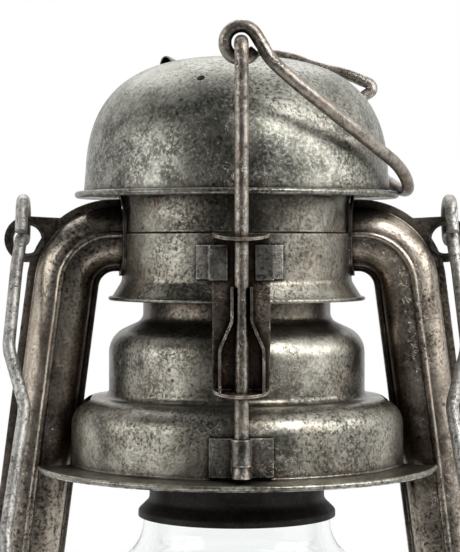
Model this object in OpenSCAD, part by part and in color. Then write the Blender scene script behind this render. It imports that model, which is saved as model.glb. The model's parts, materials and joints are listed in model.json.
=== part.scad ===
// Hurricane lantern: a tin-plate storm lantern with side air tubes, a wire-lifted globe plate and a bail.
// The origin is the centre of the base, +Z is up, the front is -Y and the tubes stand on the X axis.

/* [Sheet, wire and clearances] */
// Thickness of the pressed sheet metal
sheet = 0.8; // [0.6:0.05:0.9]
// Diameter of the bail wire
bail_wire_d = 3.5; // [3:0.1:3.8]
// Diameter of the lift rods
rod_d = 3.6; // [3:0.1:3.7]
// Diameter of the lift bow wire
bow_wire_d = 3.4; // [3:0.1:3.6]
// Diameter of the globe guard wire
guard_wire_d = 2.6; // [2:0.1:3.2]
// Clearance between pieces that slide or turn
running_gap = 0.3; // [0.2:0.05:0.4]
// Clearance between pieces that are soldered or pushed together
fit_gap = 0.05; // [0.02:0.01:0.1]
// Radius of the rolled edges
bead_r = 0.9; // [0.6:0.1:1.1]

/* [Tank] */
// Outer radius of the tank
tank_r = 58; // [55:1:64]
// Height of the tank's side wall
tank_side_h = 26; // [22:1:34]
// Height of the domed tank top above the side wall
tank_dome_h = 15; // [12:1:20]
// How far the floor of the tank is set up from the foot ring
foot_recess = 2.8; // [1.5:0.1:4]
// Width of the foot ring
foot_w = 3.5; // [2.5:0.5:5]
// How far the tank's top laps down over its side wall
seam_lap = 4; // [3:0.5:6]
// Radius of the burner opening in the tank top
burner_neck_r = 13.5; // [12:0.5:15]
// Height of the neck round the burner opening
burner_neck_h = 3; // [2:0.5:4]

/* [Filler] */
// Distance of the filler from the tank's side wall
filler_inset = 10.4; // [8:0.1:10.8]
// Direction of the filler, from +X
filler_angle = -45; // [-60:1:-35]
// Outer radius of the filler neck
filler_r = 7.6; // [6:0.1:8]
// Width of the soldered foot of the filler neck
filler_foot_w = 2.2; // [1.5:0.1:3]
// Height of the filler mouth above the tank's highest point
filler_h = 6; // [4:0.5:9]
// Wall of the screw cap
cap_wall = 1.6; // [1.2:0.1:2]
// Height of the skirt of the screw cap
cap_skirt = 6; // [4:0.5:7]
// Thickness of the gasket in the cap
gasket_t = 1.6; // [1:0.1:2.5]
// Number of grip flutes round the cap
cap_flutes = 20; // [12:1:24]

/* [Air chamber and burner] */
// Outer radius of the air chamber
chamber_r = 36; // [35:0.5:38]
// Height of the air chamber
chamber_h = 20.5; // [20:0.5:24]
// Width of the air chamber's foot
chamber_foot_w = 2.4; // [1.6:0.1:3]
// Height of the burner collar above the tank
collar_ring_h = 4; // [3:0.5:5]
// Width of the flat wick
wick_w = 12.5; // [10:0.5:14]
// Thickness of the flat wick
wick_t = 1.8; // [1.4:0.1:2.2]
// How far the wick stands out of its tube
wick_stand = 3; // [2:0.5:4]
// Height of the wick shaft above the tank
shaft_rise = 13.5; // [13:0.5:15]
// Diameter of the wick shaft
wick_shaft_d = 3; // [2.4:0.2:3.6]
// Radius of the toothed wick wheels
wick_wheel_r = 4; // [3.5:0.1:4.5]
// Number of teeth on a wick wheel
wick_teeth = 14; // [10:1:16]
// Radius of the wick knob
knob_r = 7.5; // [6:0.5:9]
// Thickness of the wick knob
knob_t = 3.4; // [2.5:0.1:4.5]
// Gap between the air chamber and the wick knob
knob_gap = 10; // [8:0.5:12]
// Height of the burner cone above the burner plate
cone_h = 15; // [12:0.5:18]
// Radius of the burner cone at its foot
cone_r = 19; // [17:0.5:20]
// How far the wick tube ends below the top of the burner cone
mouth_drop = 3.5; // [2:0.5:5]
// Number of air holes in each row of the burner plate
plate_holes = 24; // [18:1:28]
// Radius of the air holes
plate_hole_r = 1; // [0.8:0.1:1.2]

/* [Globe] */
// Height of the glass globe
globe_h = 76; // [70:0.5:82]
// Radius of the globe's belly
globe_r = 41.5; // [38:0.5:42]
// Radius of the globe's upper mouth
globe_top_r = 26; // [25.5:0.1:26.2]
// Radius of the globe's foot
globe_foot_r = 29; // [27:0.5:30]
// Thickness of the glass
glass_t = 2.2; // [1.8:0.1:2.6]

/* [Globe plate] */
// Radius of the collar that holds the globe's mouth
collar_r = 24.3; // [23.5:0.1:24.6]
// Height from the collar's lower rim to the edge of the flange
collar_h = 14.6; // [12.6:0.1:16.6]
// How far the collar reaches down over the globe
collar_lap = 1.3; // [1:0.1:2]
// Outer radius of the flange
flange_r = 55; // [53:0.5:58]
// Rise of the flange from its edge to the lower bulge
flange_rise = 0.6; // [0.4:0.1:1.9]
// Radius of the lower bulge
lower_bulge_r = 46.4; // [45:0.2:48]
// Height of the lower bulge
lower_bulge_h = 17.9; // [16:0.1:19]
// Radius of the upper bulge
upper_bulge_r = 35.5; // [33.6:0.1:35.5]
// Height of the upper bulge
upper_bulge_h = 21.2; // [19:0.1:22]
// How far the upper bulge's shoulder falls from the neck
shoulder_drop = 4.4; // [4:0.1:6]
// Distance from the outside of the inner flue to the outside of the plate's neck
neck_gap = 1.4; // [1.1:0.1:1.9]
// Height of the plate's neck
plate_neck_h = 11.5; // [9:0.5:13]

/* [Chimney] */
// Gap between the upper bulge and the lip of the chimney's skirt
skirt_gap = 5.9; // [5.9:0.1:8.4]
// Radius of the skirt's lip
skirt_r = 35.1; // [35.1:0.1:37.1]
// Height of the flared skirt
skirt_h = 4.8; // [4:0.1:6]
// Outer radius of the chimney's lower band
chimney_r = 31.9; // [31.4:0.1:32.4]
// Height of the lower band, from the lip
chimney_low_h = 17.7; // [16:0.1:20]
// How far the upper band is set in
chimney_step = 0.6; // [0.3:0.1:1]
// Whole height of the chimney, from the lip
chimney_h = 38.2; // [36:0.1:42]
// Distance from the outside of the inner flue to the outside of the chimney
flue_gap = 7.3; // [7.1:0.1:7.9]

/* [Hood] */
// Height of the hood's brim above the chimney's lip
brim_rise = 28.9; // [28:0.1:31]
// Radius of the hood
hood_r = 42; // [41:0.2:43]
// Height of the hood above its brim
hood_h = 37.6; // [34:0.2:40]
// Squareness of the hood's curve
hood_square = 2.8; // [2.4:0.1:3.2]
// Width of the brim
brim_w = 2; // [1:0.1:2.4]
// Number of stays between the chimney and the hood
stay_count = 4; // [3:1:6]

/* [Air tubes] */
// Width of a tube across its seams
tube_w = 20; // [18.6:0.2:20.6]
// Depth of a tube from front to back
tube_d = 17; // [16:0.2:17.6]
// Width of the inner seams
tube_seam = 1.4; // [1:0.1:1.8]
// Width of the outer seams
tube_rim = 2.6; // [2:0.1:3]
// Corner radius of the tube's section
tube_round = 6; // [5:0.2:6.5]
// Radius of the raised rib along a tube
tube_rib_r = 1.1; // [0.8:0.1:1.4]
// Height of the tubes above the chimney's lip where they enter it
tube_rise = 17.4; // [16:0.2:18]
// Distance of the upper bend's corner from the chimney
tube_out = 14.7; // [14.3:0.1:16.3]
// Radius of the upper bend
tube_top_bend = 14.5; // [13.5:0.1:15]
// Radius of the lower bend
tube_low_bend = 28; // [26:0.5:30]
// Lean of the tubes
tube_lean = 7.4; // [6.4:0.1:7.8]

/* [Lift] */
// Travel of the globe plate
lift_travel = 10; // [8:0.5:10]
// Half width of the rod guides
guide_half_w = 7.3; // [6.5:0.1:7.6]
// Gap between the lower bulge and the rod guides
guide_clear = 0.35; // [0.3:0.05:1.3]
// Height of the guide's lower tab above the clip
guide_clear_h = 10.5; // [10.5:0.1:12.9]
// How far the guide's upper tab lies below the chimney's step
guide_drop = 0; // [0:0.1:2]
// How far the guide's tabs stand out in front of the rod's centre
tab_reach = 3; // [2.4:0.1:4.4]
// Droop of the guide's tabs
tab_droop = 11; // [0:1:13]
// Half width of the rod clips
clip_half_w = 8.2; // [7:0.1:9]
// Height of the rod clips
clip_h = 9.9; // [9:0.1:10]
// Height of the notch below the clip's channel
clip_notch_h = 3.2; // [2.6:0.1:4]
// Height of the wide part of the friction springs
spring_body_h = 10.3; // [9:0.1:11]
// Height at which the springs close on the rod
spring_neck_z = 17.5; // [17:0.1:19]
// Whole height of the friction springs
spring_h = 26; // [23:0.5:28]
// How far the bow's hinge lies below the hood's top
hook_drop = 0.5; // [0:0.1:2]

/* [Bail] */
// Direction of the ears from the centre of the tubes' bend
ear_angle = 29; // [26:1:32]
// Distance of the ears from the tubes' bend
ear_out = 3.1; // [2.9:0.1:3.7]
// Radius of the ears
ear_r = 6.4; // [6:0.1:7]
// Radius of the hole in the ears
ear_hole_r = 3.9; // [3.6:0.1:4]
// Length of the bail from its hinge to its grip
bail_l = 124; // [120:1:132]
// Forward tilt of the hanging bail
bail_tilt = 23; // [22:0.5:25]

/* [Hidden] */

$fn = 64;
// Points on each rounded corner of a profile
arc_steps = 6;
// Straight runs are thinner than bends by this much, and reach into them by this much
wire_step = 0.02;
wire_lap = 0.3;

// Radius of the tank's seam
tank_seam_r = tank_r + fit_gap + sheet;

// Heights of the stacked pieces
tank_top_z = tank_side_h + tank_dome_h;
chamber_top_z = tank_top_z + chamber_h;
chamber_foot_z = tank_top_z + fit_gap + sheet;
chamber_foot_r = chamber_r + chamber_foot_w;
globe_z = chamber_top_z + sheet + 2 * fit_gap;
globe_top_z = globe_z + globe_h;
collar_z = globe_top_z - collar_lap;
flange_z = collar_z + collar_h;
lower_z = flange_z + flange_rise;
lower_top_z = lower_z + lower_bulge_h;
upper_top_z = lower_top_z + upper_bulge_h;
skirt_z = upper_top_z + skirt_gap;
step_z = skirt_z + chimney_low_h;
chimney_top_z = skirt_z + chimney_h;
chimney_top_r = chimney_r - chimney_step;
flue_r = chimney_r - flue_gap;
plate_neck_r = flue_r + neck_gap;
brim_z = skirt_z + brim_rise;
hood_top_z = brim_z + hood_h;
hook_z = hood_top_z - hook_drop;

// Air tube route in the XZ plane: chimney, upper corner, lower corner, air chamber
tube_top_z = skirt_z + tube_rise;
tube_low_z = tank_top_z + chamber_h / 2;
tube_top_x = chimney_r + tube_out;
tube_low_x = tube_top_x + (tube_top_z - tube_low_z) * tan(tube_lean);
tube_overrun = 6;
tube_root_x = chimney_r - tube_overrun;
tube_foot_x = chamber_r - tube_overrun;
tube_half_w = tube_w / 2;
tube_half_d = tube_d / 2;
tube_near = tube_half_w - tube_seam;
tube_far = tube_half_w - tube_rim;
tube_shift = (tube_near - tube_far) / 2;
rib_sunk = 0.2;
rib_h = tube_rib_r - rib_sunk;
bend_top = tube_top_bend * tan((90 - tube_lean) / 2);
bend_low = tube_low_bend * tan((90 + tube_lean) / 2);

// The guides clear the lower bulge as it rises, and the rods run in front of them
rod_r = rod_d / 2;
guide_y = lower_bulge_r + guide_clear;
guide_front_y = guide_y + sheet;
rod_y = guide_front_y + fit_gap + running_gap + rod_r;
tab_l = rod_y - guide_y + tab_reach;
tab_fall = tab_l * sin(tab_droop);
clip_z = lower_z + sheet;
clip_top_z = clip_z + clip_h;
guide_low_z = clip_top_z + guide_clear_h + tab_fall + sheet;
guide_top_z = step_z - guide_drop;

// Bail ears and hinge
ear_bend_r = tube_top_bend + tube_half_w;
bend_centre = [tube_top_x - bend_top, tube_top_z - tube_top_bend];
ear_dir = [cos(ear_angle), sin(ear_angle)];
ear_at = bend_centre + ear_dir * (ear_bend_r + ear_out);
bail_axis_z = ear_at.y + (ear_r + ear_hole_r) / 2;
bail_r = bail_wire_d / 2;

// Wick shaft beside the flat wick
shaft_r = wick_shaft_d / 2;
shaft_x = -(wick_t / 2 + running_gap + wick_wheel_r);
shaft_z = tank_top_z + shaft_rise;
wick_slot = 2 * running_gap;
wheel_t = 1.6;
tube_mouth_z = chamber_top_z + cone_h - mouth_drop;
filler_top_z = tank_top_z + filler_h;
cap_inner_r = filler_r + running_gap;
cap_r = cap_inner_r + cap_wall;

// The filler stands by the tank's side wall, with its cap clear of the air chamber
filler_reach = max(tank_r - filler_inset, chamber_r + cap_r + 2 * running_gap);

// Colours
tin = "#6d6a64";
dark_tin = "#4c4843";
soot = "#23211f";
bright_wire = "#8f8b84";
brass = "#8a7443";

function unit(v) = v / norm(v);
function reversed(l) = [for (i = [len(l) - 1 : -1 : 0]) l[i]];

// Centre and end points of the arc that rounds corner b, between a and c, to radius r
function arc_centre(a, b, c, r) =
    let (u = unit(a - b), v = unit(c - b))
    b + unit(u + v) * r / sin(acos(u * v) / 2);
function arc_reach(a, b, c, r) = r / tan(acos(unit(a - b) * unit(c - b)) / 2);

// Points of that arc
function corner(a, b, c, r) =
    let (
        reach = arc_reach(a, b, c, r),
        centre = arc_centre(a, b, c, r),
        from = b + unit(a - b) * reach - centre,
        to = b + unit(c - b) * reach - centre,
        turn = 180 - acos(unit(a - b) * unit(c - b))
    )
    [for (i = [0 : arc_steps])
        let (k = i / arc_steps)
        centre + (from * sin((1 - k) * turn) + to * sin(k * turn)) / sin(turn)];

// A profile through corners given as [r, z, rounding]
function rounded(c) =
    let (last = len(c) - 1, p = [for (q = c) [q.x, q.y]])
    [for (i = [0 : last])
        each (i == 0 || i == last || c[i].z == 0) ? [p[i]] : corner(p[i - 1], p[i], p[i + 1], c[i].z)];

// The same profile moved to its left by t
function left_of(d) = [-d.y, d.x];
function beside(p, t) =
    let (last = len(p) - 1)
    [for (i = [0 : last])
        let (
            d0 = unit(p[max(i, 1)] - p[max(i, 1) - 1]),
            d1 = unit(p[min(i, last - 1) + 1] - p[min(i, last - 1)])
        )
        p[i] + (left_of(d0) + left_of(d1)) * t / (1 + d0 * d1)];

// A closed band of sheet metal along a profile, with the metal on the profile's left
function band(p, t) = concat(p, reversed(beside(p, t)));

// A profile of sheet metal turned about the axis
module pressing(profile, t = sheet, sweep = 360) {
    rotate([0, 0, -90 - sweep / 2])
        rotate_extrude(angle = sweep)
            polygon([for (q = band(profile, t)) [max(0, q.x), q.y]]);
}

module ring(r, z, wire_r) {
    rotate_extrude()
        translate([r, z])
            circle(r = wire_r);
}

// A closed rectangle with round corners, centred
function round_rect(w, h, r) =
    let (c = [[w, -h], [w, h], [-w, h], [-w, -h]] / 2)
    [for (i = [0 : 3]) each corner(c[(i + 3) % 4], c[i], c[(i + 1) % 4], r)];

// Sideways direction of the bend from direction u to direction v
function bend_side(u, v) = unit(v - u * (u * v));
// That direction once the bend is made
function bent_side(u, v) = unit(bend_side(u, v) * (u * v) - u * (bend_side(u, v) * v));
function roll(from, to, axis) = atan2(cross(from, to) * axis, from * to);
function any_normal(d) = unit(cross(d, abs(d.z) < 0.9 ? [0, 0, 1] : [1, 0, 0]));

// One straight run and bend of a wire, and then the rest of it: Z is along the run, and X is side
module wire_run(p, bends, r, i, side) {
    last = len(p) - 1;
    u = unit(p[i + 1] - p[i]);
    start = i == 0 ? 0 : arc_reach(p[i - 1], p[i], p[i + 1], bends[i]);
    reach = i + 1 == last ? 0 : arc_reach(p[i], p[i + 1], p[i + 2], bends[i + 1]);
    run = norm(p[i + 1] - p[i]) - start - reach;
    low = i == 0 ? 0 : -wire_lap;
    high = i + 1 == last ? run : run + wire_lap;
    translate([0, 0, low])
        cylinder(h = high - low, r = r - wire_step);
    if (i + 1 < last) {
        v = unit(p[i + 2] - p[i + 1]);
        bend = bends[i + 1];
        turn = acos(u * v);
        translate([0, 0, run])
            rotate([0, 0, roll(side, bend_side(u, v), u)]) {
                translate([bend, 0, 0])
                    rotate([90, 0, 180])
                        rotate_extrude(angle = turn)
                            translate([bend, 0])
                                circle(r = r);
                translate([bend, 0, 0])
                    rotate([0, turn, 0])
                        translate([-bend, 0, 0])
                            wire_run(p, bends, r, i + 1, bent_side(u, v));
            }
    }
}

// A bent wire through points given as [x, y, z, bend radius]
module wire(route, r) {
    p = [for (q = route) [q.x, q.y, q.z]];
    u = unit(p[1] - p[0]);
    n = any_normal(u);
    m = cross(u, n);
    multmatrix([
        [n.x, m.x, u.x, p[0].x],
        [n.y, m.y, u.y, p[0].y],
        [n.z, m.z, u.z, p[0].z],
        [0, 0, 0, 1]
    ])
        wire_run(p, [for (q = route) q[3]], r, 0, n);
}

module front_and_rear(rear) {
    mirror([0, rear ? 1 : 0, 0]) children();
}

// Tank

module tank_bottom() {
    foot_round = 1.8;
    foot_r = tank_r - foot_round - foot_w;
    color(tin)
        pressing(rounded([
            [0, foot_recess, 0],
            [foot_r - foot_recess / 2, foot_recess, 1],
            [foot_r, 0, 0],
            [tank_r, 0, foot_round],
            [tank_r, tank_side_h, 0]
        ]));
}

// Outer profile of the domed tank top, from its skirt to the burner opening
function tank_dome(grow = 0) = beside(rounded([
    [tank_seam_r, tank_side_h - seam_lap, 0],
    [tank_seam_r, tank_side_h + tank_dome_h / 5, 7],
    [chamber_r + 3, tank_top_z - sheet, 8],
    [burner_neck_r + sheet, tank_top_z, 1],
    [burner_neck_r + sheet, tank_top_z + burner_neck_h, 0]
]), -grow);

module at_filler() {
    rotate([0, 0, filler_angle])
        translate([filler_reach, 0, 0])
            children();
}

// Everything below the outside of the tank top
module below_dome(grow = 0) {
    rotate_extrude()
        polygon(concat([[0, 0]], [[tank_seam_r + grow, 0]], tank_dome(grow),
            [[0, tank_top_z + burner_neck_h]]));
}

module tank_top() {
    color(tin)
        difference() {
            union() {
                pressing(tank_dome());
                ring(tank_seam_r, tank_side_h - seam_lap + bead_r, bead_r);
            }
            translate([0, 0, -1])
                cylinder(h = tank_side_h + 1, r = tank_r + fit_gap);
            at_filler()
                cylinder(h = filler_top_z, r = filler_r - sheet);
        }
}

module filler_neck() {
    foot_h = tank_dome_h * 0.87;
    color(tin)
        difference() {
            at_filler()
                translate([0, 0, tank_side_h]) {
                    cylinder(h = filler_top_z - tank_side_h, r = filler_r);
                    cylinder(h = foot_h, r = filler_r + filler_foot_w);
                }
            below_dome(fit_gap);
            at_filler()
                cylinder(h = filler_top_z + 1, r = filler_r - sheet);
        }
}

module cap_gasket() {
    color("#5b4632")
        at_filler()
            translate([0, 0, filler_top_z + fit_gap])
                cylinder(h = gasket_t, r = filler_r);
}

module filler_cap() {
    top = filler_top_z + fit_gap + gasket_t + fit_gap;
    low = filler_top_z - cap_skirt + gasket_t;
    chamfer = 1.4;
    flute_r = 0.8;
    color(brass)
        at_filler()
            difference() {
                union() {
                    translate([0, 0, low])
                        cylinder(h = top - low, r = cap_r);
                    translate([0, 0, top])
                        cylinder(h = cap_wall, r1 = cap_r, r2 = cap_r - chamfer);
                }
                translate([0, 0, low - 1])
                    cylinder(h = top - low + 1, r = cap_inner_r);
                for (i = [1 : cap_flutes])
                    rotate([0, 0, i * 360 / cap_flutes])
                        translate([cap_r + flute_r * 0.4, 0, low + 1])
                            cylinder(h = top - low + cap_wall, r = flute_r);
            }
}

// Air chamber and burner

module tube_bore_2d() {
    polygon(round_rect(tube_near + tube_far - 2 * sheet, 2 * (tube_half_d - sheet), tube_round - sheet));
}

// Both tube bores, cut through a wall at height z
module tube_bores(z, reach) {
    translate([0, 0, z])
        rotate([90, 0, 90])
            translate([0, 0, -reach])
                linear_extrude(2 * reach)
                    rotate([0, 0, 90])
                        tube_bore_2d();
}

module air_chamber() {
    shoulder = 4;
    color(tin)
        difference() {
            pressing(rounded([
                [chamber_foot_r, tank_top_z + fit_gap, 0],
                [chamber_r, chamber_foot_z, 0.8],
                [chamber_r, chamber_top_z, shoulder],
                [cone_r + 1, chamber_top_z, 0]
            ]));
            tube_bores(tube_low_z + tube_shift, 2 * chamber_r);
            translate([shaft_x, 0, shaft_z])
                rotate([90, 0, 0])
                    cylinder(h = 2 * chamber_r, r = shaft_r + running_gap / 2);
        }
}

module burner_collar() {
    rim_h = 1.2;
    rim_w = 2;
    slot = 2 * (wick_slot + sheet + fit_gap);
    color(brass)
        difference() {
            union() {
                translate([0, 0, tank_top_z - 1])
                    cylinder(h = collar_ring_h + 1, r = burner_neck_r - fit_gap);
                translate([0, 0, tank_top_z + burner_neck_h + fit_gap])
                    cylinder(h = rim_h, r = burner_neck_r + rim_w);
            }
            translate([0, 0, tank_top_z - 2])
                linear_extrude(2 * chamber_h)
                    square([wick_t + slot, wick_w + slot], center = true);
        }
}

module wick_tube() {
    low = tank_top_z - 3;
    bore = 2 * wick_slot;
    outside = bore + 2 * sheet;
    color(brass)
        difference() {
            translate([0, 0, low])
                linear_extrude(tube_mouth_z - low)
                    square([wick_t + outside, wick_w + outside], center = true);
            translate([0, 0, low - 1])
                linear_extrude(tube_mouth_z - low + 2)
                    square([wick_t + bore, wick_w + bore], center = true);
            at_wick_wheels()
                cylinder(h = wheel_t + 2 * wick_slot, r = wick_wheel_r + 2 * running_gap, center = true);
        }
}

module at_wick_wheels() {
    for (side = [-1, 1])
        translate([shaft_x, side * wick_w / 4, shaft_z])
            rotate([90, 0, 0])
                children();
}

module wick_shaft() {
    gullet_r = 0.68;
    color("#8d8a84") {
        translate([shaft_x, wick_w / 2, shaft_z])
            rotate([90, 0, 0])
                cylinder(h = wick_w / 2 + chamber_r + knob_gap, r = shaft_r);
        at_wick_wheels()
            difference() {
                cylinder(h = wheel_t, r = wick_wheel_r, center = true);
                for (i = [1 : wick_teeth])
                    rotate([0, 0, i * 360 / wick_teeth])
                        translate([wick_wheel_r + gullet_r / 3, 0, 0])
                            cylinder(h = wheel_t + 1, r = gullet_r, center = true);
            }
    }
}

module wick_knob() {
    flutes = 18;
    flute_r = 0.9;
    boss_h = 2;
    boss_w = 1.6;
    crown_h = 0.8;
    color(brass)
        translate([shaft_x, -(chamber_r + knob_gap), shaft_z])
            rotate([90, 0, 0])
                difference() {
                    union() {
                        cylinder(h = knob_t, r = knob_r);
                        translate([0, 0, -boss_h])
                            cylinder(h = boss_h, r = shaft_r + boss_w);
                        translate([0, 0, knob_t])
                            cylinder(h = crown_h, r1 = knob_r * 0.8, r2 = knob_r * 0.67);
                    }
                    translate([0, 0, -boss_h - 1])
                        cylinder(h = boss_h + 1, r = shaft_r + fit_gap);
                    for (i = [1 : flutes])
                        rotate([0, 0, i * 360 / flutes])
                            translate([knob_r + flute_r * 0.4, 0, -1])
                                cylinder(h = knob_t + boss_h, r = flute_r);
                }
}

module wick() {
    low = tank_side_h / 2 - 1;
    color("#b7a98a")
        translate([0, 0, low])
            linear_extrude(tube_mouth_z + wick_stand - low)
                square([wick_t, wick_w], center = true);
}

// Plate with a gallery of air holes, which seats the globe
module burner_plate() {
    rim_r = globe_foot_r + 1;
    rim_h = 6;
    rim_round = 1.5;
    row_gap = (globe_foot_r - glass_t - cone_r - 1) / 3;
    color(tin)
        difference() {
            pressing(rounded([
                [cone_r - 3, chamber_top_z + fit_gap, 0],
                [rim_r + sheet, chamber_top_z + fit_gap, rim_round],
                [rim_r + sheet, chamber_top_z + rim_h, 0]
            ]));
            for (row = [1, 2])
                for (i = [1 : plate_holes])
                    rotate([0, 0, (i + row / 2) * 360 / plate_holes])
                        translate([cone_r + 1 + row * row_gap, 0, chamber_top_z - 1])
                            cylinder(h = sheet + 2, r = plate_hole_r);
        }
}

module burner_cone() {
    foot_z = chamber_top_z + fit_gap + sheet + fit_gap;
    slot_gap = 2 * (wick_slot + sheet) - 0.2;
    color(brass)
        difference() {
            pressing(rounded([
                [cone_r + 1, foot_z + sheet, 0],
                [cone_r - 1, foot_z + sheet, 0.8],
                [cone_r - 4, chamber_top_z + cone_h * 0.62, 5],
                [0, chamber_top_z + cone_h, 0]
            ]));
            translate([0, 0, foot_z])
                linear_extrude(2 * cone_h)
                    square([wick_t + 2 * slot_gap, wick_w + 2 * slot_gap], center = true);
        }
}

module globe() {
    foot_h = globe_h * 0.05;
    belly_low = globe_h * 0.29;
    belly_high = globe_h * 0.72;
    neck_h = globe_h * 0.11;
    color([0.9, 0.93, 0.92, 0.35])
        translate([0, 0, globe_z])
            pressing(rounded([
                [globe_foot_r, 0, 0],
                [globe_foot_r, foot_h, globe_h * 0.08],
                [globe_r, belly_low, globe_h * 0.18],
                [globe_r, belly_high, globe_h * 0.39],
                [globe_top_r, globe_h - neck_h, globe_h * 0.157],
                [globe_top_r, globe_h, 0]
            ]), glass_t);
}

// Chimney and hood

module chimney() {
    lip_r = bead_r * 0.6;
    skirt_round = 3;
    color(tin)
        difference() {
            union() {
                pressing(rounded([
                    [skirt_r, skirt_z, 0],
                    [skirt_r - lip_r, skirt_z + lip_r, 0],
                    [chimney_r, skirt_z + skirt_h, skirt_round],
                    [chimney_r, step_z, 0],
                    [chimney_top_r, step_z + chimney_step, 0],
                    [chimney_top_r, chimney_top_z, 0]
                ]));
                ring(skirt_r, skirt_z, lip_r);
            }
            tube_bores(tube_top_z - tube_shift, 2 * chimney_r);
        }
}

// Ring that closes the chimney round the globe plate's neck
module chimney_floor() {
    color(dark_tin)
        translate([0, 0, skirt_z + skirt_h + 2])
            difference() {
                cylinder(h = sheet, r = chimney_r - sheet - fit_gap);
                translate([0, 0, -1])
                    cylinder(h = sheet + 2, r = plate_neck_r + running_gap);
            }
}

module inner_flue() {
    lid_drop = 3;
    lid_z = chimney_top_z - lid_drop;
    holes = 12;
    hole_r = 1.6;
    lid_mid_r = (flue_r + chimney_top_r) / 2;
    color(dark_tin)
        difference() {
            union() {
                translate([0, 0, skirt_z])
                    cylinder(h = chimney_h, r = flue_r);
                translate([0, 0, lid_z])
                    cylinder(h = sheet, r = chimney_top_r - sheet - fit_gap);
            }
            translate([0, 0, skirt_z - 1])
                cylinder(h = chimney_h + 2, r = flue_r - sheet);
            for (i = [1 : holes])
                rotate([0, 0, (i + 0.5) * 360 / holes])
                    translate([lid_mid_r, 0, lid_z - 1])
                        cylinder(h = sheet + 2, r = hole_r);
        }
}

// Point on the outside of the hood at curve angle a, 0 at the brim and 90 at the top
function hood_point(a) = [
    hood_r * pow(cos(a), 2 / hood_square),
    brim_z + hood_h * pow(sin(a), 2 / hood_square)
];
function hood_curve(from, to, step) = [for (a = [from : step : to]) hood_point(a)];

// Drills a small hole in the hood, square to it, at curve angle a and heading turn
module hood_vent(a, turn) {
    vent_r = 1.1;
    p = hood_point(a);
    d = unit(hood_point(a + 1) - hood_point(a - 1));
    rotate([0, 0, turn])
        translate([p.x, 0, p.y])
            rotate([0, acos(-d.x), 0])
                cylinder(h = 4 * sheet, r = vent_r, center = true);
}

module hood() {
    brim_drop = 0.4;
    color(tin)
        difference() {
            union() {
                pressing(concat([[hood_r + brim_w, brim_z - brim_drop], [hood_r + brim_drop, brim_z]],
                    hood_curve(4, 88, 4), [[0, hood_top_z]]));
                ring(hood_r + brim_w, brim_z - brim_drop, bead_r);
            }
            hood_vent(45, 252);
            hood_vent(69, 166);
        }
}

// Strips that carry the hood on the chimney
module hood_stays() {
    stay_turn = 12;
    stay_r = chimney_top_r + fit_gap + sheet;
    inside = beside(hood_curve(28, 44, 4), sheet + fit_gap);
    route = concat([[stay_r, brim_z - 1], [stay_r, chimney_top_z + 1]], inside);
    color(dark_tin)
        for (i = [1 : stay_count])
            rotate([0, 0, (i + 0.5) * 360 / stay_count])
                pressing(route, sheet, stay_turn);
}

// Air tubes

// Section of the front half of a tube: X is away from the bends' centres and Y is the depth
module half_tube_2d(thin = 0) {
    half_w = tube_half_w - thin;
    half_d = tube_half_d - thin;
    near = tube_near - thin;
    far = tube_far - thin;
    bore_near = tube_near - sheet + thin;
    bore_far = tube_far - sheet + thin;
    depth = tube_half_d - sheet + thin;
    seam = sheet - thin;
    seam_round = 0.6;
    rib_out = 0.2;
    difference() {
        union() {
            polygon(rounded([
                [-half_w, -thin, 0],
                [-half_w, -seam, 0],
                [-near, -seam, seam_round],
                [-near, -half_d, tube_round],
                [far, -half_d, tube_round],
                [far, -seam, seam_round],
                [half_w, -seam, 0],
                [half_w, -thin, 0]
            ]));
            translate([rib_out, rib_sunk - tube_half_d])
                circle(r = tube_rib_r - thin);
        }
        polygon(rounded([
            [-bore_near, 1, 0],
            [-bore_near, -depth, tube_round - sheet],
            [bore_far, -depth, tube_round - sheet],
            [bore_far, 1, 0]
        ]));
    }
}

// Draws a 2D section round a bend whose centre lies on its -X side
module tube_bend(bend_r, turn) {
    translate([-bend_r, 0, 0])
        rotate([90, 0, 0])
            rotate_extrude(angle = turn)
                translate([bend_r, 0])
                    children();
}

module after_bend(bend_r, turn) {
    translate([-bend_r, 0, 0])
        rotate([0, -turn, 0])
            translate([bend_r, 0, 0])
                children();
}

// The front half of the right-hand tube, from the air chamber up to the chimney
module half_tube() {
    low_run = tube_low_x - bend_low - tube_foot_x;
    mid_run = (tube_top_z - tube_low_z) / cos(tube_lean) - bend_low - bend_top;
    top_run = tube_top_x - bend_top - tube_root_x;
    translate([tube_foot_x, 0, tube_low_z])
        rotate([0, 90, 0]) {
            linear_extrude(low_run + wire_lap) half_tube_2d(wire_step);
            translate([0, 0, low_run]) {
                tube_bend(tube_low_bend, 90 + tube_lean) mirror([0, 1]) half_tube_2d();
                after_bend(tube_low_bend, 90 + tube_lean) {
                    translate([0, 0, -wire_lap])
                        linear_extrude(mid_run + 2 * wire_lap) half_tube_2d(wire_step);
                    translate([0, 0, mid_run]) {
                        tube_bend(tube_top_bend, 90 - tube_lean) mirror([0, 1]) half_tube_2d();
                        after_bend(tube_top_bend, 90 - tube_lean)
                            translate([0, 0, -wire_lap])
                                linear_extrude(top_run + wire_lap) half_tube_2d(wire_step);
                    }
                }
            }
        }
}

// Plate of the ear, which grows out of the tube's outer seam
module ear_2d() {
    root_high = 52;
    root_low = -2;
    difference() {
        union() {
            translate(ear_at)
                circle(r = ear_r);
            polygon([
                ear_at + [0, ear_r],
                bend_centre + ear_bend_r * [cos(root_high), sin(root_high)],
                bend_centre,
                bend_centre + ear_bend_r * [cos(root_low), sin(root_low)],
                ear_at + [-ear_r / 12, -ear_r]
            ]);
        }
        translate(ear_at)
            circle(r = ear_hole_r);
        translate(bend_centre)
            circle(r = ear_bend_r - tube_rim / 2);
    }
}

// Raised rim round the hole of the ear
module ear_rim_2d() {
    rim_w = 0.7;
    translate(ear_at)
        difference() {
            circle(r = ear_hole_r + rim_w);
            circle(r = ear_hole_r);
        }
}

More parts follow.
